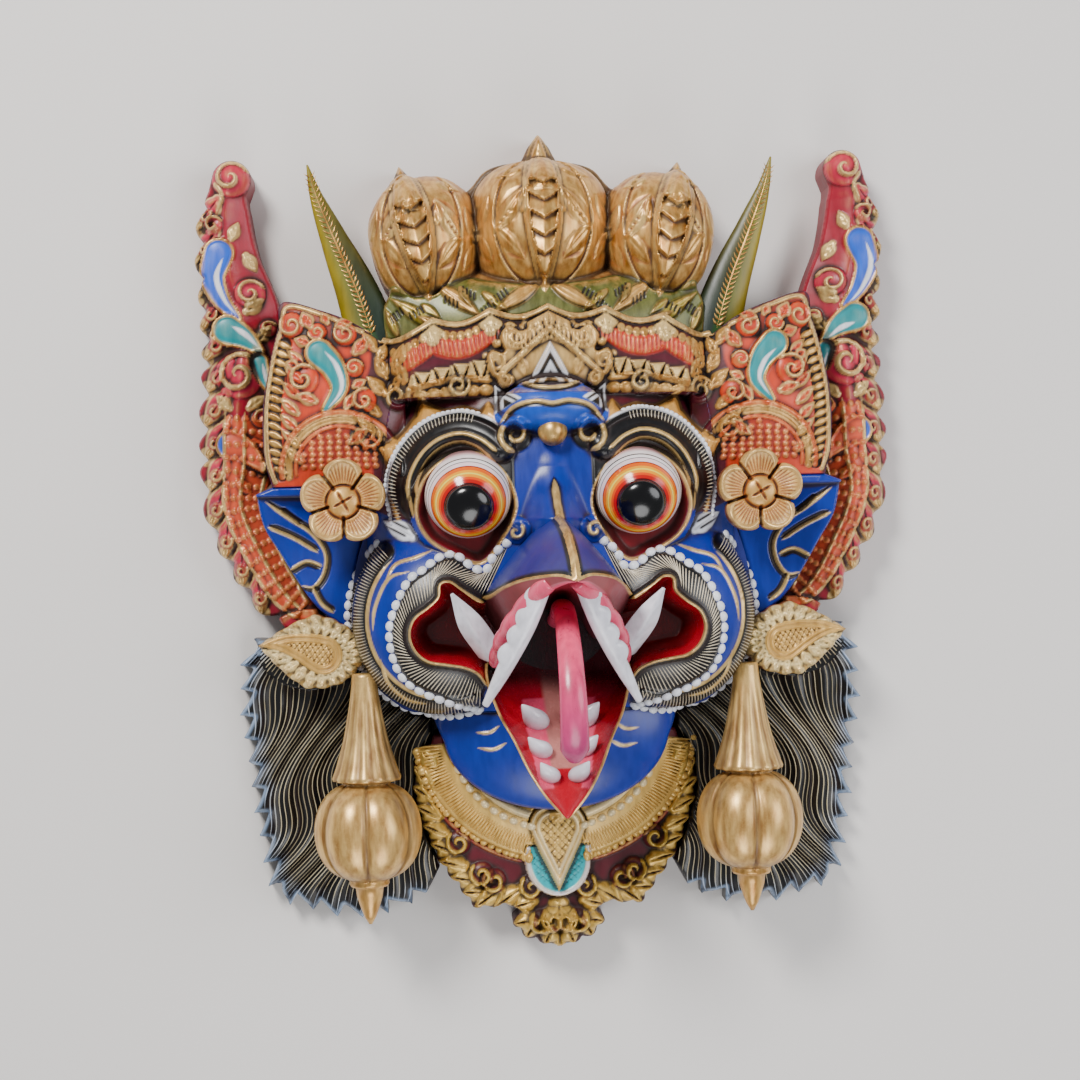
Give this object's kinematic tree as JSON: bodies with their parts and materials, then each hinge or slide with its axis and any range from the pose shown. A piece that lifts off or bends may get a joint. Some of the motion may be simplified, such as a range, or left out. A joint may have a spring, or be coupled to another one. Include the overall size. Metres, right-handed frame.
{
  "type": "carved garuda mask",
  "caption": "Painted carved wooden garuda mask with open beak, long tongue, fangs, gold crown, side wings, mane, earrings and collar, hollow behind",
  "frame": {"origin": "on the surface that the mask lies on, under the middle of its outline", "axes": "+X to the right of the mask as a viewer facing it sees it, +Y up the mask towards the crown, +Z out of the face"},
  "size_m": [0.4202, 0.494, 0.189],
  "materials": {
    "face_paint": "carved wood, brushed satin ultramarine paint with gilt and black lines, red, orange and gilt ornament round the face",
    "gold_paint": "carved wood, bronze gold paint with pearly highlights and a brown wash in the cuts",
    "wing_paint": "carved wood, crimson pink paint with gilt tips and turquoise and blue drops",
    "mane_paint": "carved wood, black with fine pale gold strands and blue white tips",
    "horn_paint": "carved wood, moss green paint, yellow at the tips, with a gilt serrated rib",
    "eye_enamel": "turned wood under glossy enamel, white, yellow, orange and red rings round a black pupil",
    "tongue_paint": "carved wood, bright pink gloss paint, darker at the tip",
    "tooth_paint": "carved wood, cool white gloss paint"
  },
  "bodies": {
    "root": {"mask_block": "face_paint", "crown": "gold_paint", "collar": "gold_paint", "wing_left": "wing_paint", "wing_right": "wing_paint", "mane_left": "mane_paint", "mane_right": "mane_paint", "horn_left": "horn_paint", "horn_right": "horn_paint", "flower_left": "gold_paint", "flower_right": "gold_paint", "ear_stud_left": "gold_paint", "ear_stud_right": "gold_paint", "earring_left": "gold_paint", "earring_right": "gold_paint", "eye_left": "eye_enamel", "eye_right": "eye_enamel", "forehead_ball": "gold_paint", "tongue": "tongue_paint", "fang_left": "tooth_paint", "fang_right": "tooth_paint", "tusk_left": "tooth_paint", "tusk_right": "tooth_paint"}
  },
  "joints": []
}
